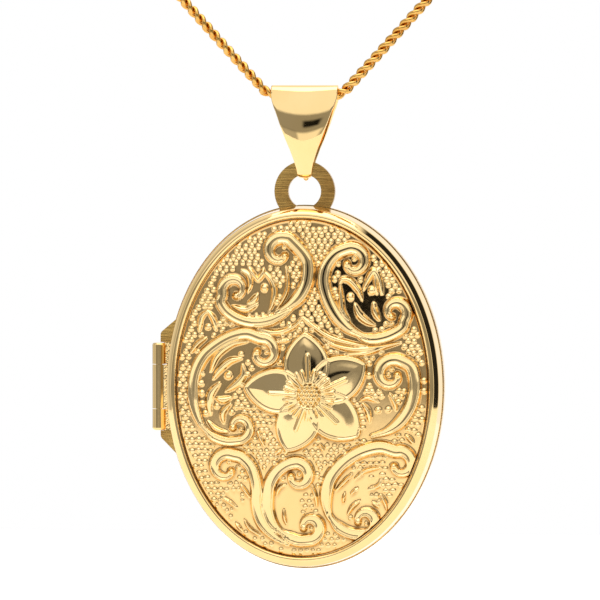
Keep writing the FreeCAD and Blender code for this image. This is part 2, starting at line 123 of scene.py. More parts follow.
# Embossed panel, in its own plane: u to the right and w up from the middle of the case
PANEL_GRID = 308
PANEL_EDGE_DIP = 0.10
PANEL_EDGE_START = 0.02
PANEL_EDGE_WIDTH = 0.14
PANEL_BORDER = 0.30
PANEL_CROWN = 0.92

# Lines of the embossed work: spacing of their points, degrees per step of a spiral
LINE_SPACING = 0.04
LINE_STEPS = 16
SPIRAL_STEP = 25.0
NEAREST_BATCH = 4000

# Ribbons of the scrolls. Shares are of the ribbon's length or half width.
RIBBON_HEIGHT = 0.50
RIBBON_LEAST_HEIGHT = 0.55
RIBBON_SPREAD = 1.22
RIBBON_TROUGH = 0.52
RIBBON_TROUGH_EDGE = 0.86
RIBBON_FALL = (0.72, 1.36)
RIBBON_TIP_WIDTH = 0.35
RIBBON_TIP_END = 0.22
RIBBON_EYE_NARROWING = 0.45
RIBBON_EYE_START = 0.72
RIBBON_CLEARANCE = 1.1
RIBBON_REACH = 1.5
EYE_RADIUS = 0.36

# Ridges: leaf edges and vines
RIDGE_HEIGHT = 0.30
RIDGE_SPREAD = 1.5
RIDGE_TIP_WIDTH = 0.25
RIDGE_SWELL = 0.7
RIDGE_ROUNDNESS = 1.2
RIDGE_THINNING = 0.6
RIDGE_CLEARANCE = 0.8
RIDGE_REACH = 1.05

# Bosses, and the beads of the ground
BOSS_SPREAD = 1.12
BOSS_RISE = 0.85
BEAD_PITCH = 0.57
BEAD_RADIUS = 0.23
BEAD_SIZES = (0.9, 1.08)
BEAD_HEIGHT = 0.17
BEAD_JITTER = 0.07
BEAD_LINE_GAP = 0.72
BEAD_PETAL_GAP = 0.8

# Petals, stamens and the meshed middle of the flower
PETAL_TIP = 0.18
PETAL_FALL = 0.30
PETAL_PILLOW = 0.14
PETAL_PILLOW_END = 1.8
PETAL_RIM = 0.16
PETAL_RIM_INSET = 0.20
PETAL_RIM_WIDTH = 0.16
PETAL_FOOT = 0.05
PETAL_EDGE_REACH = 0.03
PETAL_START = 0.02
PETAL_LEAN = 0.95
PETAL_FULLNESS = 0.62
PETAL_LEAST_SLOPE = 0.55
STAMEN_HALF_WIDTH = 0.19
STAMEN_RISE = 0.22
SIDE_STAMEN_HALF_WIDTH = 0.17
SIDE_STAMEN_RISE = 0.18
MESH_HEIGHT = 0.46
MESH_DOME = 0.24
MESH_DEPTH = 0.24
MESH_SLANTS = (0.55, -0.75)

# The panel's painted shade follows its relief: lighter where it is high, darker in hollows and at its edge
GROUND_TONE = 0.42
HOLLOW_SHADE = 1.9
HOLLOW_REACH = 3
EDGE_SHADE = 2.2

# Embossed work on the panel. Points are (u, w): u to the right, w up from the middle of the case.
# Each scroll: its eye, first and last radius, first angle and turn in degrees (inwards, + is
# anticlockwise), the arm's points from the spiral outwards, and the half width of its ribbon.
SCROLLS = [
    ((-1.89, 12.10), 1.40, 0.50, 45, 290,
     [(0.48, 11.5), (0.62, 9.9), (0.12, 8.5), (-0.85, 7.45), (-2.2, 6.65)], 0.42),
    ((-5.95, 8.70), 1.20, 0.50, 200, -290,
     [(-7.2, 7.6), (-6.6, 6.75), (-5.5, 6.1), (-4.2, 5.85), (-2.75, 6.05), (-1.4, 6.7), (-0.5, 7.4)], 0.34),
    ((4.62, 11.20), 1.30, 0.50, 110, -290,
     [(3.1, 11.95), (2.29, 10.92), (2.01, 9.72), (2.21, 8.53), (2.69, 7.33), (3.42, 6.21),
      (4.5, 5.2), (6.0, 4.5)], 0.42),
    ((8.35, 6.80), 1.15, 0.46, -40, 290,
     [(8.9, 5.3), (7.5, 4.6), (6.0, 4.45), (4.6, 5.1)], 0.36),
    ((-3.40, 3.10), 1.40, 0.50, 100, -300,
     [(-4.9, 4.85), (-6.4, 4.5), (-7.9, 3.6), (-8.9, 2.6), (-9.55, 1.1), (-9.7, -0.7),
      (-9.45, -2.1), (-8.9, -3.4), (-8.0, -4.3)], 0.38),
    ((-5.55, -3.50), 1.20, 0.50, 270, 290,
     [(-6.83, -4.75), (-8.1, -4.25), (-9.0, -3.3)], 0.30),
    ((8.10, 1.20), 1.50, 0.50, 64, 300,
     [(9.75, 2.0), (10.1, 0.95), (10.1, -0.3), (9.7, -1.7), (8.9, -2.9), (7.75, -3.75), (6.4, -4.2)], 0.40),
    ((-6.73, -7.20), 1.40, 0.50, 60, 290,
     [(-5.3, -6.2), (-4.5, -7.0), (-4.1, -8.0), (-3.92, -9.1), (-3.96, -10.2), (-3.75, -11.4),
      (-3.2, -12.45), (-2.3, -13.35), (-1.2, -13.95)], 0.40),
    ((-0.31, -7.85), 1.25, 0.50, 95, -290,
     [(-1.3, -6.85), (-2.15, -7.5), (-2.75, -8.5), (-2.95, -9.75), (-2.95, -10.9), (-2.65, -11.9),
      (-2.0, -12.7), (-1.05, -13.3)], 0.40),
    ((0.72, -12.40), 1.15, 0.48, 270, 290,
     [(-0.3, -13.6), (-1.3, -13.2), (-2.1, -12.6)], 0.38),
    ((8.80, -6.75), 1.30, 0.50, 110, -290,
     [(7.1, -5.2), (5.67, -5.5), (4.4, -6.15), (3.35, -7.05), (2.6, -8.1), (2.3, -9.3), (2.3, -10.4),
      (2.55, -11.4), (3.1, -12.25)], 0.42),
    ((5.60, -11.80), 1.20, 0.50, 270, 290,
     [(4.6, -12.95), (3.7, -12.6), (3.0, -12.0), (2.5, -11.1)], 0.36),
]

# Leaf edges and vines: points along the ridge, and its half width where it is widest
RIDGES = [
    ([(-5.38, 10.44), (-4.74, 10.04), (-4.54, 9.32), (-4.74, 8.53)], 0.20),
    ([(-4.74, 10.76), (-4.2, 10.0), (-3.85, 9.5)], 0.17),
    ([(-3.85, 9.5), (-3.5, 10.1), (-3.35, 10.6)], 0.20),
    ([(-3.3, 10.3), (-2.6, 9.5), (-2.35, 8.6), (-2.55, 7.5), (-2.8, 6.9)], 0.20),
    ([(-4.8, 7.5), (-4.3, 7.75), (-3.85, 8.35)], 0.22),
    ([(-6.15, 7.3), (-5.0, 6.95), (-3.85, 7.5)], 0.22),
    ([(-1.37, 10.76), (-1.2, 9.56), (-1.37, 8.37), (-2.3, 6.8)], 0.14),
    ([(3.42, 9.3), (3.7, 9.7), (4.4, 9.55), (5.1, 8.75), (5.45, 7.9)], 0.22),
    ([(3.5, 9.2), (3.6, 8.0), (3.75, 6.95), (4.4, 5.9)], 0.20),
    ([(5.55, 8.8), (6.0, 9.8), (6.5, 10.45), (6.95, 9.75), (7.2, 8.4)], 0.22),
    ([(6.5, 10.3), (6.65, 9.2), (6.75, 8.4)], 0.14),
    ([(4.8, 7.5), (5.2, 6.6), (5.9, 5.97), (6.55, 5.65)], 0.24),
    ([(6.47, 7.65), (6.6, 6.85), (6.95, 6.1)], 0.20),
    ([(-4.0, 5.3), (-2.2, 4.95), (-0.6, 5.5), (0.1, 6.3)], 0.20),
    ([(0.1, 6.35), (1.2, 5.5), (2.6, 4.6), (4.4, 4.05), (6.2, 3.75)], 0.20),
    ([(1.9, 4.5), (3.1, 3.84), (4.9, 3.5), (7.1, 3.7), (8.9, 4.1)], 0.20),
    ([(3.9, 3.05), (5.5, 3.12), (7.0, 3.55), (8.2, 4.0)], 0.18),
    ([(-2.3, 4.15), (-0.95, 4.3)], 0.14),
    ([(-8.1, 1.45), (-7.5, 2.9), (-6.2, 3.9), (-4.75, 4.15)], 0.24),
    ([(-7.85, 0.8), (-7.3, 1.6), (-6.35, 2.4), (-5.3, 2.65)], 0.25),
    ([(-5.2, 2.1), (-5.15, 1.15), (-5.8, 0.35), (-6.7, -0.3)], 0.26),
    ([(-7.3, 0.45), (-8.1, -0.5), (-8.28, -1.55), (-8.15, -2.35)], 0.27),
    ([(-7.6, -0.9), (-7.0, -1.08), (-6.25, -0.87)], 0.24),
    ([(-8.4, -2.95), (-7.6, -3.7), (-6.5, -4.0)], 0.17),
    ([(-6.3, -1.4), (-7.0, -2.2), (-6.95, -3.1)], 0.20),
    ([(-9.15, 5.0), (-9.0, 6.2), (-8.4, 6.85)], 0.22),
    ([(-8.4, 6.85), (-7.85, 6.1), (-7.6, 5.1)], 0.20),
    ([(-9.9, 3.1), (-9.3, 3.9), (-8.5, 4.45)], 0.18),
    ([(5.3, -1.05), (5.95, -0.8), (6.9, -1.15)], 0.15),
    ([(5.5, -1.25), (6.0, -2.0), (6.15, -3.0)], 0.20),
    ([(7.9, -0.4), (8.3, -1.1), (8.5, -1.9)], 0.15),
    ([(9.3, -4.1), (9.7, -4.5), (9.95, -4.9)], 0.15),
    ([(3.1, -9.1), (3.9, -8.3), (4.65, -7.55)], 0.15),
    ([(4.78, -8.1), (5.7, -7.35), (7.1, -7.0)], 0.16),
    ([(5.99, -9.0), (6.87, -8.65), (7.19, -8.0)], 0.14),
    ([(7.03, -9.35), (7.43, -10.06), (7.6, -10.8)], 0.14),
    ([(6.3, -10.1), (7.0, -10.55)], 0.12),
    ([(4.4, -9.4), (5.1, -8.9)], 0.12),
    ([(3.9, -9.3), (3.75, -10.2)], 0.12),
    ([(5.3, -10.0), (4.6, -10.5), (4.1, -11.3)], 0.14),
    ([(0.95, -8.5), (1.3, -9.6), (1.45, -10.6)], 0.14),
    ([(-2.2, -9.6), (-1.9, -8.9), (-1.3, -8.6)], 0.13),
    ([(-1.55, -10.8), (-1.5, -11.6), (-1.3, -12.2)], 0.12),
    ([(-5.45, -8.6), (-4.95, -9.3), (-4.6, -9.8)], 0.14),
    ([(-7.3, -9.75), (-6.5, -10.2), (-5.75, -10.75)], 0.12),
    ([(-5.95, -12.1), (-5.3, -12.8)], 0.12),
    ([(-5.15, -11.8), (-4.6, -12.6), (-3.7, -13.2)], 0.13),
    ([(-3.86, -3.84), (-3.26, -5.2)], 0.13),
    ([(1.65, -4.95), (2.1, -5.6)], 0.12),
    ([(-2.4, -5.9), (-1.7, -5.5)], 0.13),
]

# Round bosses: u, w and radius
BOSSES = [
    (-3.28, 8.9, 0.33), (-5.27, 6.9, 0.18), (4.42, 8.13, 0.30), (6.3, 8.7, 0.34), (-6.5, 1.13, 0.34),
    (-5.38, 3.0, 0.22), (-8.96, 1.29, 0.26), (-9.0, 0.37, 0.26), (-8.95, -0.5, 0.26),
    (-8.9, -1.43, 0.25), (-8.6, -2.3, 0.25), (-7.55, -1.63, 0.22), (6.9, -1.9, 0.25), (7.8, -1.83, 0.22),
    (4.7, -1.03, 0.20), (5.0, -1.43, 0.20), (5.27, -1.9, 0.20), (5.45, -2.46, 0.20),
    (5.55, -2.95, 0.20), (5.5, -3.5, 0.20), (6.27, -7.87, 0.16), (6.27, -9.55, 0.16),
    (-5.28, -10.06, 0.18), (-6.27, -10.9, 0.15), (-8.36, 5.4, 0.26), (3.82, 5.75, 0.18),
    (4.5, 5.3, 0.18), (5.15, 4.95, 0.18), (5.83, 4.7, 0.18), (-4.62, 6.5, 0.18), (-4.0, 6.45, 0.18),
    (-3.4, 6.5, 0.18), (-2.8, 6.7, 0.18), (2.3, -9.05, 0.14), (2.28, -9.95, 0.14), (2.34, -10.8, 0.14),
]

# Smooth fields inside the scrolls, where no ground beads stand: corners of each
FIELDS = [
    [(-5.87, 10.6), (-4.82, 10.84), (-3.78, 9.56), (-3.3, 10.6), (-2.49, 9.96), (-2.33, 8.37),
     (-2.65, 6.53), (-4.58, 6.05), (-6.19, 6.77), (-4.58, 8.37), (-4.66, 9.48)],
    [(3.42, 9.4), (4.38, 9.72), (5.51, 8.92), (6.47, 10.6), (7.27, 9.56), (7.35, 8.13),
     (6.95, 7.57), (7.51, 5.73), (5.5, 5.57), (4.38, 5.97), (3.66, 7.17)],
    [(-9.8, -0.71), (-9.16, 2.48), (-7.31, 4.32), (-4.9, 5.03), (-2.57, 4.08), (-4.18, 3.68),
     (-4.98, 2.64), (-4.9, 1.13), (-6.19, -0.31), (-6.35, -1.11), (-6.99, -3.1), (-6.67, -4.3),
     (-8.2, -4.22), (-9.4, -2.7)],
    [(5.67, -1.11), (7.11, -1.11), (7.59, -0.31), (8.4, -1.9), (9.36, -1.51), (8.96, -2.7),
     (7.1, -3.9), (5.5, -4.2), (5.99, -2.8)],
    [(3.66, -7.67), (4.86, -8.07), (5.67, -7.27), (7.11, -7.03), (7.11, -8.07), (6.31, -9.1),
     (7.11, -10.38), (5.5, -10.7), (4.3, -11.42), (4.38, -12.45), (3.34, -11.82), (2.86, -10.22),
     (2.94, -9.1)],
    [(-2.24, -9.1), (-1.1, -8.8), (-0.07, -9.43), (0.09, -11.0), (0.33, -13.4), (-0.87, -13.25),
     (-2.07, -11.8), (-2.4, -10.2)],
    [(-7.54, -9.74), (-5.93, -9.43), (-4.48, -10.22), (-3.84, -11.8), (-2.48, -13.65),
     (-4.48, -13.25), (-6.09, -11.8)],
]

# Flower: petals are (direction in degrees, length, half width)
FLOWER = (0.80, -0.60)
PETALS = [(95, 5.6, 2.15), (173, 5.95, 2.10), (-112, 5.45, 2.05), (-40, 5.75, 2.15), (30, 5.8, 2.15)]
STAMENS = [(92, 3.7), (177, 3.7), (-111, 3.5), (-45, 3.6), (24.5, 3.7)]
SIDE_STAMENS = (-29, -15, 15, 29)
SIDE_STAMEN_LENGTH = 2.35
DISC_RADIUS = 1.1
DISC_MESH = 0.45

# Edges: steeper ones than this stay sharp or are bevelled
SHARP_ANGLE = math.radians(40)
PLATE_ROUND = 0.05

# Rim of the front half, from the seam round to the ledge: inset from its outer oval, and distance
# behind the ridge's crest
RIM_STEPS = 320
RIM_PROFILE = [
    (0.00, 2.23), (0.00, 2.06), (0.03, 1.98), (0.12, 1.30), (0.20, 0.70), (0.23, 0.56), (0.28, 0.46),
    (0.46, 0.24), (0.54, 0.15), (0.64, 0.06), (0.76, 0.01), (0.86, 0.00), (0.96, 0.03), (1.03, 0.09),
    (1.07, 0.18), (1.08, 0.36), (1.08, 0.64), (1.92, 0.64), (1.92, 1.06), (0.84, 1.06), (0.84, 2.23),
]
RIM_SHARP = (0, 1, 15, 16, 17, 18, 19, 20)

# Rough strips beside the hinge's barrel
STRIP_OVERLAP = 0.10
STRIP_WIDTH = 0.60
STRIP_GAP = 0.05
STRIP_GRAIN = 0.07
STRIP_THICKNESS = 0.045
LEAF_RISE = 0.425

# Bail: a folded strip. Half widths are (below its top, half width).
BAIL_CROWN_RADIUS = 0.98
BAIL_CROWN_TILT = 25.0
BAIL_LEAF_RADIUS = 7.975
BAIL_LEAF_END = -27.0
BAIL_TOE_RADIUS = 0.77
BAIL_SHEET = 0.25
BAIL_EDGE_ROUND = 0.06
BAIL_DOME = 0.20
BAIL_DOME_START = 0.9
BAIL_DOME_WIDTH = 1.2
BAIL_STEPS = (10, 64, 18)
BAIL_STEPS_ACROSS = 33
BAIL_EDGE_STEPS = 7
BAIL_HALF_WIDTHS = [
    (0.0, 3.0),
    (0.6, 3.0),
    (1.0, 2.96),
    (1.34, 2.88),
    (1.9, 2.70),
    (2.23, 2.55),
    (2.6, 2.42),
    (2.97, 2.29),
    (3.5, 2.12),
    (4.0, 1.93),
    (4.9, 1.60),
    (5.8, 1.24),
    (6.8, 0.90),
    (7.65, 0.70),
    (8.1, 0.64),
    (8.32, 0.60),
]

# Materials: noise scales are per metre
EVEN = (1, 1, 1)
DRIFT_SCALE = 260.0
METAL_MARK_DEPTH = 0.04
WINDOW_MARKS = 900.0
PAPER_MOTTLE = 1500.0
PAPER_FIBRE = 12000.0
PAPER_FIBRE_DEPTH = 0.02
# Painted shade on the embossed panel: a ramp over its relief level, dark brown in hollows and at the edge, no
# tint on raised work
RECESS_PAINTED_SHADE = [(0.0, (0.16, 0.08, 0.03)), (0.40, (0.95, 0.87, 0.77)), (0.5, (1.0, 1.0, 1.0))]


# Meshes ---------------------------------------------------------------------------------------

def new_piece(name, points, faces, material, smooth=True):
    """A mesh object from points in millimetres."""
    mesh = bpy.data.meshes.new(name)
    mesh.from_pydata((np.asarray(points, float) * MM).tolist(), [], faces)
    mesh.polygons.foreach_set("use_smooth", [smooth] * len(mesh.polygons))
    mesh.materials.append(material)
    mesh.update()
    piece = bpy.data.objects.new(name, mesh)
    bpy.context.scene.collection.objects.link(piece)
    return piece


def ring_faces(rows, around):
    """Quads that join closed rings of points into a closed band, the last ring to the first."""
    faces = []
    for i in range(rows):
        for j in range(around):
            after, beyond = (i + 1) % rows, (j + 1) % around
            faces.append((i * around + j, i * around + beyond, after * around + beyond, after * around + j))
    return faces


def grid_rim(number):
    """The numbers of a grid's points round its edge, once round."""
    return np.concatenate([number[0, :-1], number[:-1, -1], number[-1, :0:-1], number[:0:-1, 0]])


def smooth_step(value, low, high):
    """0 below low and 1 above high, with an even rise between."""
    share = np.clip((value - low) / (high - low), 0, 1)
    return share * share * (3 - 2 * share)


def settle(piece, body, slot, *nodes):
    """Put a finished piece on its body, in place of CAD nodes."""
    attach(piece, body)
    if nodes:
        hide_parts(*nodes)
    return piece


# Materials ------------------------------------------------------------------------------------

class Nodes:
    """Short calls for building a node tree."""

    def __init__(self, tree):
        self.tree = tree
        tree.nodes.clear()

    def add(self, kind, **settings):
        node = self.tree.nodes.new(kind)
        for key, value in settings.items():
            setattr(node, key, value)
        return node

    def join(self, source, target):
        self.tree.links.new(source, target)

    def math(self, operation, first, second=None):
        node = self.add("ShaderNodeMath", operation=operation)
        for socket, value in zip(node.inputs, (first, second)):
            if isinstance(value, (int, float)):
                socket.default_value = value
            elif value is not None:
                self.join(value, socket)
        return node.outputs[0]

    def noise(self, stretch, scale, detail=3.0):
        """Noise on object coordinates, stretched along the axes where stretch is small."""
        place = self.add("ShaderNodeTexCoord")
        mapping = self.add("ShaderNodeMapping")
        mapping.inputs["Scale"].default_value = stretch
        self.join(place.outputs["Object"], mapping.inputs["Vector"])
        noise = self.add("ShaderNodeTexNoise")
        noise.inputs["Scale"].default_value = scale
        noise.inputs["Detail"].default_value = detail
        self.join(mapping.outputs["Vector"], noise.inputs["Vector"])
        return noise.outputs["Fac"]

    def bump(self, height, strength, depth, shader):
        """Fine unevenness of the surface, as deep as depth."""
        bump = self.add("ShaderNodeBump")
        bump.inputs["Strength"].default_value = strength
        bump.inputs["Distance"].default_value = depth * MM
        self.join(height, bump.inputs["Height"])
        self.join(bump.outputs["Normal"], shader.inputs["Normal"])

    def ramp(self, value, stops):
        """Colours or greys along value: stops are (position, colour)."""
        ramp = self.add("ShaderNodeValToRGB")
        elements = ramp.color_ramp.elements
        while len(elements) < len(stops):
            elements.new(0.5)
        for element, (position, colour) in zip(elements, stops):
            element.position = position
            grey = isinstance(colour, (int, float))
            element.color = (colour, colour, colour, 1) if grey else (*colour, 1)
        self.join(value, ramp.inputs["Fac"])
        return ramp.outputs["Color"]


def start_material(name):
    """A material with only its Principled shader and output."""
    material = bpy.data.materials.new(name)
    material.use_nodes = True
    nodes = Nodes(material.node_tree)
    shader = nodes.add("ShaderNodeBsdfPrincipled")
    output = nodes.add("ShaderNodeOutputMaterial")
    nodes.join(shader.outputs["BSDF"], output.inputs["Surface"])
    return material, nodes, shader


def metal(name, dark, light, rough, marks, bump, stretch=EVEN, painted_shade=None):
    """Metal whose colour and polish drift, with fine marks. The optional ramp paints shade: it darkens the
    colour where the relief is low.
    """
    material, nodes, shader = start_material(name)
    drift = nodes.noise(EVEN, DRIFT_SCALE)
    colour = nodes.ramp(drift, [(0.35, dark), (0.65, light)])
    if painted_shade:
        # Painted shade: the relief attribute, through the ramp, darkens the colour in hollows and at the edge
        depth = nodes.add("ShaderNodeAttribute", attribute_name="relief")
        shade = nodes.ramp(depth.outputs["Fac"], painted_shade)
        mix = nodes.add("ShaderNodeMix", data_type="RGBA", blend_type="MULTIPLY")
        mix.inputs["Factor"].default_value = 1.0
        nodes.join(colour, mix.inputs["A"])
        nodes.join(shade, mix.inputs["B"])
        colour = mix.outputs["Result"]
    scratches = nodes.noise(stretch, marks, detail=4.0)
    polish = nodes.ramp(scratches, [(0.3, rough[0]), (0.7, rough[1])])
    shader.inputs["Metallic"].default_value = 1.0
    nodes.join(colour, shader.inputs["Base Color"])
    nodes.join(polish, shader.inputs["Roughness"])
    nodes.bump(scratches, bump, METAL_MARK_DEPTH, shader)
    return material


def polished_gold():
    return metal("polished_gold", dark=(0.93, 0.66, 0.29), light=(0.97, 0.70, 0.33),
                 rough=(0.03, 0.075), marks=2200.0, bump=0.03)


def embossed_gold():
    # Its colour is darkened by painted shade in the relief's hollows and at its edge
    return metal("embossed_gold", dark=(0.92, 0.66, 0.30), light=(0.96, 0.70, 0.34),
                 rough=(0.05, 0.11), marks=2600.0, bump=0.03, painted_shade=RECESS_PAINTED_SHADE)


def brushed_gold():
    """Gold brushed along x."""
    return metal("brushed_gold", dark=(0.50, 0.28, 0.075), light=(0.74, 0.47, 0.14),
                 rough=(0.16, 0.34), marks=9000.0, bump=0.35, stretch=(0.05, 1, 1))


def chain_gold():
    # The gold darkened and made more orange: painted shade and inter-reflection between the links
    return metal("chain_gold", dark=(0.72, 0.39, 0.09), light=(0.84, 0.50, 0.14),
                 rough=(0.06, 0.14), marks=3000.0, bump=0.05)


def spring_steel():
    return metal("spring_steel", dark=(0.50, 0.50, 0.52), light=(0.62, 0.62, 0.63),
                 rough=(0.15, 0.30), marks=6000.0, bump=0.2)


def clear_window():
    """Thin clear plastic, faintly rubbed."""
    material, nodes, shader = start_material("clear_window")
    marks = nodes.noise(EVEN, WINDOW_MARKS)
    rough = nodes.ramp(marks, [(0.3, 0.02), (0.7, 0.06)])
    shader.inputs["Base Color"].default_value = (0.98, 0.99, 0.99, 1)
    shader.inputs["IOR"].default_value = 1.49
    shader.inputs["Transmission Weight"].default_value = 1.0
    nodes.join(rough, shader.inputs["Roughness"])
    return material


def photo_paper():
    """Blank satin photographic paper, faintly mottled."""
    material, nodes, shader = start_material("photo_paper")
    mottle = nodes.noise(EVEN, PAPER_MOTTLE)
    colour = nodes.ramp(mottle, [(0.3, (0.80, 0.77, 0.70)), (0.7, (0.88, 0.86, 0.80))])
    fibre = nodes.noise(EVEN, PAPER_FIBRE)
    shader.inputs["Roughness"].default_value = 0.42
    nodes.join(colour, shader.inputs["Base Color"])
    nodes.bump(fibre, 0.15, PAPER_FIBRE_DEPTH, shader)
    return material


# Camera, stage and light ----------------------------------------------------------------------

def make_camera():
    """The camera at the photographer's angle."""
    azimuth, elevation = math.radians(VIEW_AZIMUTH), math.radians(VIEW_ELEVATION)
    back = Vector((
        math.sin(azimuth) * math.cos(elevation),
        -math.cos(azimuth) * math.cos(elevation),
        math.sin(elevation)))
    camera = bpy.data.objects.new("camera", bpy.data.cameras.new("camera"))
    camera.data.sensor_width = SENSOR_WIDTH
    camera.data.lens = SENSOR_WIDTH * VIEW_DISTANCE / VIEW_WIDTH
    camera.data.clip_start, camera.data.clip_end = (distance * MM for distance in CLIP_RANGE)
    camera.location = (Vector(VIEW_TARGET) + back * VIEW_DISTANCE) * MM
    camera.rotation_euler = (-back).to_track_quat("-Z", "Y").to_euler()
    bpy.context.scene.collection.objects.link(camera)
    bpy.context.scene.camera = camera


def make_floor():
    """A plain pale floor, well below the hanging locket."""
    material, _, shader = start_material("floor")
    shader.inputs["Base Color"].default_value = (*WHITE, 1)
    shader.inputs["Roughness"].default_value = 0.9
    shader.inputs["Emission Color"].default_value = (1, 1, 1, 1)
    shader.inputs["Emission Strength"].default_value = FLOOR_GLOW
    half = FLOOR_SIZE / 2
    level = cad_bounds[0].z / MM - FLOOR_DROP
    corners = [(x * half, y * half, level) for x, y in ((-1, -1), (1, -1), (1, 1), (-1, 1))]
    new_piece("floor", corners, [(0, 1, 2, 3)], material)


def window(nodes, value, low, high, soft):
    """1 where value is between low and high, with soft edges."""
    rise = nodes.add("ShaderNodeMapRange", interpolation_type="SMOOTHSTEP")
    fall = nodes.add("ShaderNodeMapRange", interpolation_type="SMOOTHSTEP")
    for node, start, end in ((rise, low - soft, low + soft), (fall, high + soft, high - soft)):
        node.inputs["From Min"].default_value = start
        node.inputs["From Max"].default_value = end
        nodes.join(value, node.inputs["Value"])
    return nodes.math("MULTIPLY", rise.outputs["Result"], fall.outputs["Result"])


def make_world():
    """A soft white light tent, seen by the metal only. The camera sees plain white."""
    world = bpy.data.worlds.new("studio")
    world.use_nodes = True
    bpy.context.scene.world = world
    nodes = Nodes(world.node_tree)
    place = nodes.add("ShaderNodeTexCoord")
    split = nodes.add("ShaderNodeSeparateXYZ")
    nodes.join(place.outputs["Generated"], split.inputs[0])
    x, y, z = split.outputs
    azimuth = nodes.math("DEGREES", nodes.math("ARCTAN2", x, nodes.math("MULTIPLY", y, -1.0)))
    elevation = nodes.math("DEGREES", nodes.math("ARCSINE", z))
    level = TENT_LEVEL
    for left, right, low, high, soft, taken in TENT_OPENINGS:
        across = window(nodes, azimuth, left, right, soft)
        up = window(nodes, elevation, low, high, soft)
        dim = nodes.math("MULTIPLY", nodes.math("MULTIPLY", across, up), taken)
        level = nodes.math("MULTIPLY", nodes.math("SUBTRACT", 1.0, dim), level)
    tent = nodes.add("ShaderNodeBackground")
    plain = nodes.add("ShaderNodeBackground")
    plain.inputs["Color"].default_value = (1, 1, 1, 1)
    nodes.join(level, tent.inputs["Strength"])
    path = nodes.add("ShaderNodeLightPath")
    mix = nodes.add("ShaderNodeMixShader")
    output = nodes.add("ShaderNodeOutputWorld")
    nodes.join(path.outputs["Is Camera Ray"], mix.inputs["Fac"])
    nodes.join(tent.outputs[0], mix.inputs[1])
    nodes.join(plain.outputs[0], mix.inputs[2])
    nodes.join(mix.outputs[0], output.inputs["Surface"])


def make_top_light():
    """A large, weak softbox high in front."""
    light = bpy.data.objects.new("top_light", bpy.data.lights.new("top_light", "AREA"))
    place, aim = Vector(TOP_LIGHT_PLACE), Vector(TOP_LIGHT_AIM)
    light.data.size = TOP_LIGHT_SIZE * MM
    light.data.energy = TOP_LIGHT_POWER
    light.location = place * MM
    light.rotation_euler = (aim - place).to_track_quat("-Z", "Y").to_euler()
    bpy.context.scene.collection.objects.link(light)


# Chain ----------------------------------------------------------------------------------------

def chain_line():
    """Points along the chain's smooth line, in millimetres."""
    curve = bpy.data.curves.new("chain_line", "CURVE")
    curve.dimensions = "3D"
    spline = curve.splines.new("NURBS")
    spline.points.add(len(CHAIN_ROUTE) - 1)
    for point, place in zip(spline.points, CHAIN_ROUTE):
        point.co = (*(Vector(place) * MM), 1.0)
    spline.order_u = 3
    spline.use_endpoint_u = True
    spline.resolution_u = 24
    holder = bpy.data.objects.new("chain_line", curve)
    mesh = bpy.data.meshes.new_from_object(holder)
    points = np.array([vertex.co for vertex in mesh.vertices]) / MM
    bpy.data.objects.remove(holder)
    bpy.data.curves.remove(curve)
    bpy.data.meshes.remove(mesh)
    return points


def link_shape():
    """One curb link about its own middle: a twisted oval of round wire with its outside cut flat."""
    half_length = LINK_PITCH / 2 + LINK_WIRE
    turn = np.linspace(0, 2 * math.pi, LINK_STEPS, endpoint=False)
    along = half_length * np.cos(turn)
    bow = LINK_HALF_WIDTH * np.sign(np.sin(turn)) * np.abs(np.sin(turn)) ** LINK_BOW
    twist = math.radians(LINK_TWIST) * along / half_length
    line = np.stack([along, bow * np.cos(twist), bow * np.sin(twist)], 1)
    points, faces = tube(line, LINK_WIRE, LINK_SIDES)
    points[:, 1] = np.clip(points[:, 1], -LINK_CUT_WIDTH, LINK_CUT_WIDTH)
    points[:, 2] = np.clip(points[:, 2], -LINK_CUT_DEPTH, LINK_CUT_DEPTH)
    return points, faces


def tube(line, radius, sides):
    """A closed ring of round wire along a closed line."""
    tangent = np.roll(line, -1, 0) - np.roll(line, 1, 0)
    tangent /= np.linalg.norm(tangent, axis=1)[:, None]
    outward = line - line.mean(0)
    outward -= (outward * tangent).sum(1)[:, None] * tangent
    outward /= np.linalg.norm(outward, axis=1)[:, None]
    beside = np.cross(tangent, outward)
    angle = np.linspace(0, 2 * math.pi, sides, endpoint=False)
    ring = (np.cos(angle)[None, :, None] * outward[:, None] + np.sin(angle)[None, :, None] * beside[:, None])
    points = (line[:, None] + radius * ring).reshape(-1, 3)
    return points, [(a, d, c, b) for a, b, c, d in ring_faces(len(line), sides)]


def make_chain(material):
    """Links all along the line, rolled a little further from the left end to the right."""
    line = chain_line()
    steps = np.linalg.norm(np.diff(line, axis=0), axis=1)
    travel = np.concatenate([[0], np.cumsum(steps)])
    length = travel[-1]
    count = int(length // LINK_PITCH)
    start = (length - (count - 1) * LINK_PITCH) / 2
    shape, shape_faces = link_shape()
    points, faces = [], []
    for i in range(count):
        at = start + i * LINK_PITCH
        before, place, after = (
            np.array([np.interp(at + reach, travel, line[:, k]) for k in range(3)])
            for reach in (-TANGENT_REACH, 0.0, TANGENT_REACH))
        tangent = (after - before) / np.linalg.norm(after - before)
        front = np.array([0.0, -1.0, 0.0])
        side = np.cross(front, tangent)
        roll = math.radians(LEFT_ROLL + (RIGHT_ROLL - LEFT_ROLL) * at / length)
        across = side * math.cos(roll) + front * math.sin(roll)
        out = np.cross(tangent, across)
        points.append(place + shape @ np.stack([tangent, across, out]))
        faces += [tuple(v + i * len(shape) for v in face) for face in shape_faces]
    links = new_piece("chain_links", np.concatenate(points), faces, material)
    settle(links, "chain", "chain_gold", "chain")


# Bail -----------------------------------------------------------------------------------------

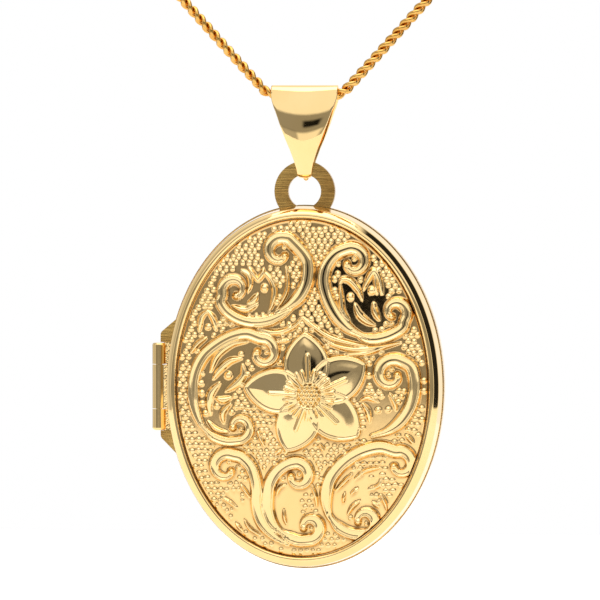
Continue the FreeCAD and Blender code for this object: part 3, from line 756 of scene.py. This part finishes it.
def bail_side(top):
    """The strip's outer side line from the toe over the crown to the toe: depth, height and normal."""
    crown_z = top - BAIL_CROWN_RADIUS
    tilt = math.radians(BAIL_CROWN_TILT)
    reach = BAIL_LEAF_RADIUS - BAIL_CROWN_RADIUS
    leaf_y, leaf_z = -reach * math.cos(tilt), crown_z - reach * math.sin(tilt)
    toe_z = leaf_z + BAIL_LEAF_RADIUS * math.sin(math.radians(BAIL_LEAF_END))
    toe, leaf, crown = BAIL_STEPS
    arcs = [
        ((0.0, toe_z), BAIL_TOE_RADIUS, np.linspace(-90, BAIL_LEAF_END, toe, endpoint=False)),
        ((leaf_y, leaf_z), BAIL_LEAF_RADIUS,
         np.linspace(BAIL_LEAF_END, BAIL_CROWN_TILT, leaf, endpoint=False)),
        ((0.0, crown_z), BAIL_CROWN_RADIUS, np.linspace(BAIL_CROWN_TILT, 90, crown)),
    ]
    half = []
    for (y, z), radius, degrees in arcs:
        for angle in np.radians(degrees):
            normal = (math.cos(angle), math.sin(angle))
            half.append((y + radius * normal[0], z + radius * normal[1], *normal))
    half = np.array(half)
    other = half[-2:0:-1] * (-1, 1, -1, 1)
    return np.concatenate([half, other])


def make_bail(material):
    """The folded strip, gently domed across, with rounded edges."""
    low, high = (np.array(corner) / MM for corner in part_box("bail"))
    centre = (low[0] + high[0]) / 2
    side = bail_side(high[2])
    below, half_widths = np.array(BAIL_HALF_WIDTHS).T
    share = np.linspace(-1, 1, BAIL_STEPS_ACROSS)
    turn = np.linspace(0, math.pi, BAIL_EDGE_STEPS)[1:-1]
    rows = []
    for y, z, normal_y, normal_z in side:
        width = np.interp(high[2] - z, below, half_widths) - BAIL_EDGE_ROUND
        bow = BAIL_DOME * smooth_step(high[2] - z, 0.0, BAIL_DOME_START) * min(1.0, width / BAIL_DOME_WIDTH)
        outer = np.stack([share * width, -bow * share ** 2], 1)
        edge = -bow - BAIL_SHEET / 2 + BAIL_SHEET / 2 * np.cos(turn)
        right = np.stack([width + BAIL_EDGE_ROUND * np.sin(turn), edge], 1)
        left = right[::-1] * (-1, 1)
        loop = np.concatenate([outer, right, outer[::-1] - (0, BAIL_SHEET), left])
        rows.append(np.stack([
            centre + loop[:, 0], -(y + loop[:, 1] * normal_y), z + loop[:, 1] * normal_z], 1))
    faces = ring_faces(len(rows), len(rows[0]))
    bail = new_piece("folded_bail", np.concatenate(rows), faces, material)
    settle(bail, "bail", "polished_gold", "bail")


# Rim and hinge --------------------------------------------------------------------------------

def smooth_profile(profile, sharp, steps=4):
    """More points on each stretch of a closed profile, rounded except where both ends are sharp."""
    count = len(profile)
    corners = np.array(profile)
    points = []
    for i in range(count):
        before, start, end, after = (corners[(i + k) % count] for k in (-1, 0, 1, 2))
        if i in sharp and (i + 1) % count in sharp:
            points.append(start)
            continue
        before = start if i in sharp else before
        after = end if (i + 1) % count in sharp else after
        for t in np.linspace(0, 1, steps, endpoint=False):
            bend = (2 * before - 5 * start + 4 * end - after) * t ** 2
            bend += (3 * start - before - 3 * end + after) * t ** 3
            points.append(start + 0.5 * ((end - before) * t + bend))
    return np.array(points)


def make_hinge_strips(material):
    """The rough strips between the barrel and the rim: one on the leaf, two on the plate's web."""
    leaf_low, leaf_high = (np.array(corner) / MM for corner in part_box("front_hinge_knuckle"))
    low, high = (np.array(corner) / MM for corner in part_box("back_hinge_knuckles"))
    plate_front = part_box("loop_plate")[0][1] / MM
    left = high[0] - STRIP_OVERLAP
    right = left + STRIP_WIDTH
    leaf_front = (low[1] + high[1]) / 2 - LEAF_RISE
    spans = [
        ("leaf_strip", "front_half", leaf_front, leaf_low[2], leaf_high[2]),
        ("upper_web_strip", "back_half", plate_front, leaf_high[2] + STRIP_GAP, high[2]),
        ("lower_web_strip", "back_half", plate_front, low[2], leaf_low[2] - STRIP_GAP),
    ]
    for name, body, front, bottom, top in spans:
        columns = int(STRIP_WIDTH / STRIP_GRAIN)
        rows = int((top - bottom) / STRIP_GRAIN)
        x, z = np.meshgrid(np.linspace(left, right, columns), np.linspace(bottom, top, rows))
        y = front - RANDOM.uniform(STRIP_THICKNESS / 3, STRIP_THICKNESS, x.shape)
        face = np.stack([x, y, z], 2).reshape(-1, 3)
        base = np.stack([x, np.full(x.shape, front), z], 2).reshape(-1, 3)
        number = np.arange(rows * columns).reshape(rows, columns)
        rim = grid_rim(number)
        faces = []
        for i in range(rows - 1):
            for j in range(columns - 1):
                quad = (number[i, j], number[i, j + 1], number[i + 1, j + 1], number[i + 1, j])
                faces.append(tuple(int(v) for v in quad))
                faces.append(tuple(int(v) + rows * columns for v in quad[::-1]))
        for a, b in zip(rim.tolist(), np.roll(rim, -1).tolist()):
            faces.append((a, a + rows * columns, b + rows * columns, b))
        strip = new_piece(name, np.concatenate([face, base]), faces, material, smooth=False)
        settle(strip, body, "polished_gold")


def make_rim(material):
    """The front half's rim: sloping wall, bright chamfer, rounded ridge and the ledge behind it."""
    low, high = (np.array(corner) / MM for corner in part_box("front_rim"))
    centre = (low + high) / 2
    half_u, half_w = (high[0] - low[0]) / 2, (high[2] - low[2]) / 2
    profile = smooth_profile(RIM_PROFILE, RIM_SHARP)
    angle = np.linspace(0, 2 * math.pi, RIM_STEPS, endpoint=False)
    u = centre[0] + np.cos(angle)[:, None] * (half_u - profile[:, 0])
    w = centre[2] + np.sin(angle)[:, None] * (half_w - profile[:, 0])
    y = np.broadcast_to(low[1] + profile[:, 1], u.shape)
    faces = ring_faces(RIM_STEPS, len(profile))
    rim = new_piece("ridged_rim", np.stack([u, y, w], 2).reshape(-1, 3), faces, material)
    rim.data.set_sharp_from_angle(angle=SHARP_ANGLE)
    settle(rim, "front_half", "polished_gold", "front_rim")


# Lines and relief of the embossed work --------------------------------------------------------

def smooth_line(points):
    """Evenly spaced points on a smooth line through the given ones."""
    points = np.array(points, float)
    if len(points) > 2:
        padded = np.vstack([2 * points[0] - points[1], points, 2 * points[-1] - points[-2]])
        share = np.linspace(0, 1, LINE_STEPS, endpoint=False)[:, None]
        pieces = []
        for a, b, c, d in zip(padded, padded[1:], padded[2:], padded[3:]):
            bend = (2 * a - 5 * b + 4 * c - d) * share ** 2 + (3 * b - a - 3 * c + d) * share ** 3
            pieces.append(b + 0.5 * ((c - a) * share + bend))
        points = np.vstack(pieces + [points[-1:]])
    travel = np.concatenate([[0], np.cumsum(np.linalg.norm(np.diff(points, axis=0), axis=1))])
    at = np.linspace(0, travel[-1], max(3, int(travel[-1] / LINE_SPACING)))
    return np.stack([np.interp(at, travel, points[:, k]) for k in range(2)], 1)


def scroll_line(eye, first_radius, last_radius, first_angle, turn, arm):
    """The ribbon's middle line, from the arm's tip to the eye of the spiral."""
    steps = np.arange(0, abs(turn) + 1, SPIRAL_STEP)
    share = steps / abs(turn)
    radius = first_radius + (last_radius - first_radius) * share
    angle = np.radians(first_angle + np.sign(turn) * steps)
    spiral = np.stack([eye[0] + radius * np.cos(angle), eye[1] + radius * np.sin(angle)], 1)
    return smooth_line(np.vstack([arm[::-1], spiral]))


def nearest(points, line, reach):
    """For the points within reach of the line: their numbers, distance and nearest place along it."""
    low, high = line.min(0) - reach, line.max(0) + reach
    near = np.flatnonzero(((points >= low) & (points <= high)).all(1))
    gap = np.empty(len(near))
    place = np.empty(len(near), int)
    for start in range(0, len(near), NEAREST_BATCH):
        part = slice(start, start + NEAREST_BATCH)
        squared = ((points[near[part], None] - line[None]) ** 2).sum(2)
        place[part] = squared.argmin(1)
        gap[part] = np.sqrt(squared.min(1))
    return near, gap, place


def ribbon(height, points, line, half_width):
    """Raise a ribbon: two soft edges with a smooth trough between, thin at the tip and the eye."""
    share = np.linspace(0, 1, len(line))
    tip = RIBBON_TIP_WIDTH + (1 - RIBBON_TIP_WIDTH) * smooth_step(share, 0, RIBBON_TIP_END)
    width = half_width * tip * (1 - RIBBON_EYE_NARROWING * smooth_step(share, RIBBON_EYE_START, 1))
    near, gap, place = nearest(points, line, half_width * RIBBON_REACH)
    across = gap / width[place]
    crest = RIBBON_HEIGHT * (RIBBON_LEAST_HEIGHT + (1 - RIBBON_LEAST_HEIGHT) * width[place] / half_width)
    trough = RIBBON_TROUGH + (1 - RIBBON_TROUGH) * np.clip(across / RIBBON_TROUGH_EDGE, 0, 1) ** 3
    fall = 1 - smooth_step(across, *RIBBON_FALL)
    height[near] = np.maximum(height[near], crest * trough * fall)


def ridge(height, points, line, half_width, crest):
    """Raise a rounded ridge that thins out at both ends."""
    share = np.linspace(0, 1, len(line))
    width = half_width * (RIDGE_TIP_WIDTH + (1 - RIDGE_TIP_WIDTH) * np.sin(np.pi * share) ** RIDGE_SWELL)
    near, gap, place = nearest(points, line, half_width * RIDGE_REACH)
    round_top = np.clip(1 - (gap / width[place]) ** 2, 0, 1) ** RIDGE_ROUNDNESS
    height[near] = np.maximum(height[near], crest * (width[place] / half_width) ** RIDGE_THINNING * round_top)


def boss(height, points, u, w, radius, rise):
    """Raise a round bump."""
    near = np.flatnonzero(np.abs(points - (u, w)).max(1) < radius)
    squared = ((points[near] - (u, w)) ** 2).sum(1) / radius ** 2
    height[near] = np.maximum(height[near], rise * np.clip(1 - squared, 0, 1))


def petal(points, direction, length, half_width):
    """How far each point is inside the petal's edge, and how far along the petal it lies."""
    angle = math.radians(direction)
    out = np.array([math.cos(angle), math.sin(angle)])
    local = points - FLOWER
    along = local @ out / length
    across = np.abs(local @ np.array([-out[1], out[0]]))
    swell = np.sin(np.pi * np.clip(along, PETAL_START, 1) ** PETAL_LEAN)
    outline = half_width * np.clip(swell, 0, 1) ** PETAL_FULLNESS
    inside = np.where((along > 0) & (along < 1), outline - across, -1.0)
    slope = PETAL_LEAST_SLOPE + (1 - PETAL_LEAST_SLOPE) * np.clip(outline / half_width, 0, 1)
    return inside * slope, along


def flower(height, points):
    """Five domed petals with raised edges, the stamens and the meshed middle."""
    cover = np.zeros(len(points))
    body = np.full(len(points), -1.0)
    for direction, length, half_width in PETALS:
        inside, along = petal(points, direction, length, half_width)
        edge = smooth_step(inside, -PETAL_FOOT, PETAL_RIM_INSET)
        leaf = PETAL_TIP + PETAL_FALL * (1 - along)
        leaf += PETAL_PILLOW * smooth_step(inside, PETAL_RIM_INSET, PETAL_PILLOW_END)
        rim = PETAL_RIM * np.exp(-((inside - PETAL_RIM_INSET) / PETAL_RIM_WIDTH) ** 2)
        body = np.maximum(body, np.where(inside > -PETAL_EDGE_REACH, edge * (leaf + rim), -1))
        cover = np.maximum(cover, smooth_step(inside, -PETAL_EDGE_REACH, 2 * PETAL_EDGE_REACH))
    height[:] = np.where(cover > 0, np.maximum(body, height * (1 - cover)), height)
    for direction, length in STAMENS:
        stamen(height, points, direction, length, STAMEN_HALF_WIDTH, STAMEN_RISE)
        for turn in SIDE_STAMENS:
            stamen(height, points, direction + turn, SIDE_STAMEN_LENGTH,
                   SIDE_STAMEN_HALF_WIDTH, SIDE_STAMEN_RISE)
    meshed_middle(height, points)


def stamen(height, points, direction, length, half_width, rise):
    """A round rod lying on the petals, from the middle outwards, with a blunt end."""
    angle = math.radians(direction)
    out = np.array([math.cos(angle), math.sin(angle)])
    local = points - FLOWER
    along = np.clip(local @ out, 0, length - half_width)
    gap = np.linalg.norm(local - along[:, None] * out, axis=1)
    near = gap < half_width
    height[near] += rise * np.sqrt(1 - (gap[near] / half_width) ** 2)


def meshed_middle(height, points):
    """The dome in the flower's middle, with two sets of slanting wires across it."""
    local = points - FLOWER
    radius = np.linalg.norm(local, axis=1)
    near = radius < DISC_RADIUS
    dome = MESH_HEIGHT + MESH_DOME * np.sqrt(1 - (radius[near] / DISC_RADIUS) ** 2)
    rows = [(local[near, 0] + slant * local[near, 1]) / DISC_MESH for slant in MESH_SLANTS]
    wires = np.maximum(*(np.abs(np.cos(np.pi * row)) for row in rows))
    height[near] = dome - MESH_DEPTH * (1 - wires ** 3)


def inside_field(points):
    """Whether each point is in one of the smooth fields."""
    found = np.zeros(len(points), bool)
    for corners in FIELDS:
        hit = np.zeros(len(points), bool)
        for (u1, w1), (u2, w2) in zip(corners, corners[1:] + corners[:1]):
            crosses = (w1 > points[:, 1]) != (w2 > points[:, 1])
            hit ^= crosses & (points[:, 0] < (u2 - u1) * (points[:, 1] - w1) / (w2 - w1 + 1e-9) + u1)
        found |= hit
    return found


def ground_beads(lines, half_u, half_w):
    """Places of the beads that fill the ground between the raised work."""
    rows = np.arange(-half_w, half_w, BEAD_PITCH * math.sqrt(3) / 2)
    places = [(u + (i % 2) * BEAD_PITCH / 2, w)
              for i, w in enumerate(rows) for u in np.arange(-half_u, half_u, BEAD_PITCH)]
    places = np.array(places)
    places += RANDOM.uniform(-BEAD_JITTER, BEAD_JITTER, places.shape)
    edge = np.hypot(places[:, 0] / (half_u - PANEL_BORDER), places[:, 1] / (half_w - PANEL_BORDER))
    free = (edge < 1) & ~inside_field(places)
    for line, half_width in lines:
        near, gap, _ = nearest(places, line, half_width + BEAD_RADIUS)
        free[near[gap < half_width + BEAD_RADIUS * BEAD_LINE_GAP]] = False
    for direction, length, half_width in PETALS:
        inside, _ = petal(places, direction, length, half_width)
        free &= inside < -BEAD_RADIUS * BEAD_PETAL_GAP
    return places[free]


def relief_height(points, half_u, half_w):
    """Height of the embossed work above the plain dome."""
    height = np.zeros(len(points))
    lines = []
    for eye, first, last, angle, turn, arm, half_width in SCROLLS:
        line = scroll_line(eye, first, last, angle, turn, arm)
        ribbon(height, points, line, half_width * RIBBON_SPREAD)
        boss(height, points, *line[-1], EYE_RADIUS, RIBBON_HEIGHT)
        lines.append((line, half_width * RIBBON_SPREAD * RIBBON_CLEARANCE))
    for corners, half_width in RIDGES:
        line = smooth_line(corners)
        ridge(height, points, line, half_width * RIDGE_SPREAD, RIDGE_HEIGHT)
        lines.append((line, half_width * RIDGE_CLEARANCE))
    for u, w, radius in BOSSES:
        boss(height, points, u, w, radius * BOSS_SPREAD, radius * BOSS_RISE)
        lines.append((np.array([(u, w)] * 2), radius))
    for u, w in ground_beads(lines, half_u, half_w):
        boss(height, points, u, w, BEAD_RADIUS * RANDOM.uniform(*BEAD_SIZES), BEAD_HEIGHT)
    flower(height, points)
    return height


def hollow_depth(height):
    """How far each point of the grid lies below the mean of its surroundings."""
    side = math.isqrt(len(height))
    padded = np.pad(height.reshape(side, side), HOLLOW_REACH, mode="edge")
    shifts = range(2 * HOLLOW_REACH + 1)
    mean = sum(padded[i:i + side, j:j + side] for i in shifts for j in shifts) / len(shifts) ** 2
    return np.maximum(mean.ravel() - height, 0)


# Embossed panel -------------------------------------------------------------------------------

def disc_grid(count):
    """A square grid laid evenly over the unit disc, with the numbers of the points on its rim."""
    side = np.linspace(-1, 1, count + 1)
    a, b = (g.ravel() for g in np.meshgrid(side, side))
    wide = np.abs(a) > np.abs(b)
    radius = np.where(wide, a, b)
    safe = np.where(radius == 0, 1, radius)
    turn = np.where(wide, math.pi / 4 * b / safe, math.pi / 2 - math.pi / 4 * a / safe)
    number = np.arange((count + 1) ** 2).reshape(count + 1, count + 1)
    return np.stack([radius * np.cos(turn), radius * np.sin(turn)], 1), number, grid_rim(number)


def make_panel(material):
    """The domed front panel with its embossed work, closed at the back."""
    low, high = (np.array(corner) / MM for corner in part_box("front_panel"))
    centre = (low + high) / 2
    half_u, half_w = (high[0] - low[0]) / 2, (high[2] - low[2]) / 2
    disc, number, rim = disc_grid(PANEL_GRID)
    points = disc * (half_u, half_w)
    edge = np.hypot(disc[:, 0], disc[:, 1])
    inset = (1 - edge) * half_u
    height = relief_height(points, half_u, half_w)
    height *= smooth_step(inset, PANEL_EDGE_START, PANEL_EDGE_WIDTH)
    dip = PANEL_EDGE_DIP * (1 - smooth_step(inset, 0.0, PANEL_EDGE_WIDTH))
    dome_edge = low[1] + PANEL_CROWN
    y = dome_edge - PANEL_CROWN * (1 - edge ** 2) - height + dip
    front = np.stack([centre[0] + points[:, 0], y, centre[2] + points[:, 1]], 1)
    back = front[rim].copy()
    back[:, 1] = high[1]
    middle = np.array([[centre[0], high[1], centre[2]]])
    quads = np.stack([number[:-1, :-1], number[:-1, 1:], number[1:, 1:], number[1:, :-1]], 2).reshape(-1, 4)
    first = len(front)
    count = len(rim)
    faces = [tuple(q) for q in quads.tolist()]
    for i in range(count):
        after = (i + 1) % count
        faces.append((int(rim[after]), int(rim[i]), first + i, first + after))
        faces.append((first + after, first + i, first + count))
    panel = new_piece("embossed_panel", np.concatenate([front, back, middle]), faces, material)
    # Painted shade: a level per point, lowered in hollows and at the edge's dip, by which the material
    # darkens the colour
    shade_level = np.zeros(len(panel.data.vertices), np.float32)
    shade = HOLLOW_SHADE * hollow_depth(height) + EDGE_SHADE * dip
    shade_level[:first] = np.clip(GROUND_TONE + height - shade, 0, 1)
    panel.data.attributes.new("relief", "FLOAT", "POINT").data.foreach_set("value", shade_level)
    settle(panel, "front_half", "embossed_gold", "front_panel")


# Nodes kept from the CAD ----------------------------------------------------------------------

def round_edges(name, width):
    """Bevel a CAD node's sharp edges with a modifier."""
    bevel = frame["nodes"][name].modifiers.new("rounded_edges", "BEVEL")
    bevel.width = width * MM
    bevel.segments = 2
    bevel.limit_method = "ANGLE"
    bevel.angle_limit = SHARP_ANGLE
    bevel.harden_normals = True


def dress_cad_nodes():
    """Give each CAD node the detailed material of its slot."""
    slots = {part["node"]: part["material_slot"] for part in frame["record"]["subparts"]}
    for name, node in frame["nodes"].items():
        for slot in node.material_slots:
            slot.material = MATERIALS[slots[name]]


# Making ---------------------------------------------------------------------------------------

MATERIALS = {
    "polished_gold": polished_gold(),
    "embossed_gold": embossed_gold(),
    "brushed_gold": brushed_gold(),
    "chain_gold": chain_gold(),
    "spring_steel": spring_steel(),
    "clear_window": clear_window(),
    "photo_paper": photo_paper(),
}

make_camera()
make_chain(MATERIALS["chain_gold"])
make_bail(MATERIALS["polished_gold"])
make_rim(MATERIALS["polished_gold"])
make_hinge_strips(MATERIALS["polished_gold"])
make_panel(MATERIALS["embossed_gold"])
make_floor()
make_world()
make_top_light()
dress_cad_nodes()
round_edges("loop_plate", PLATE_ROUND)
bpy.context.scene.view_settings.view_transform = "Standard"
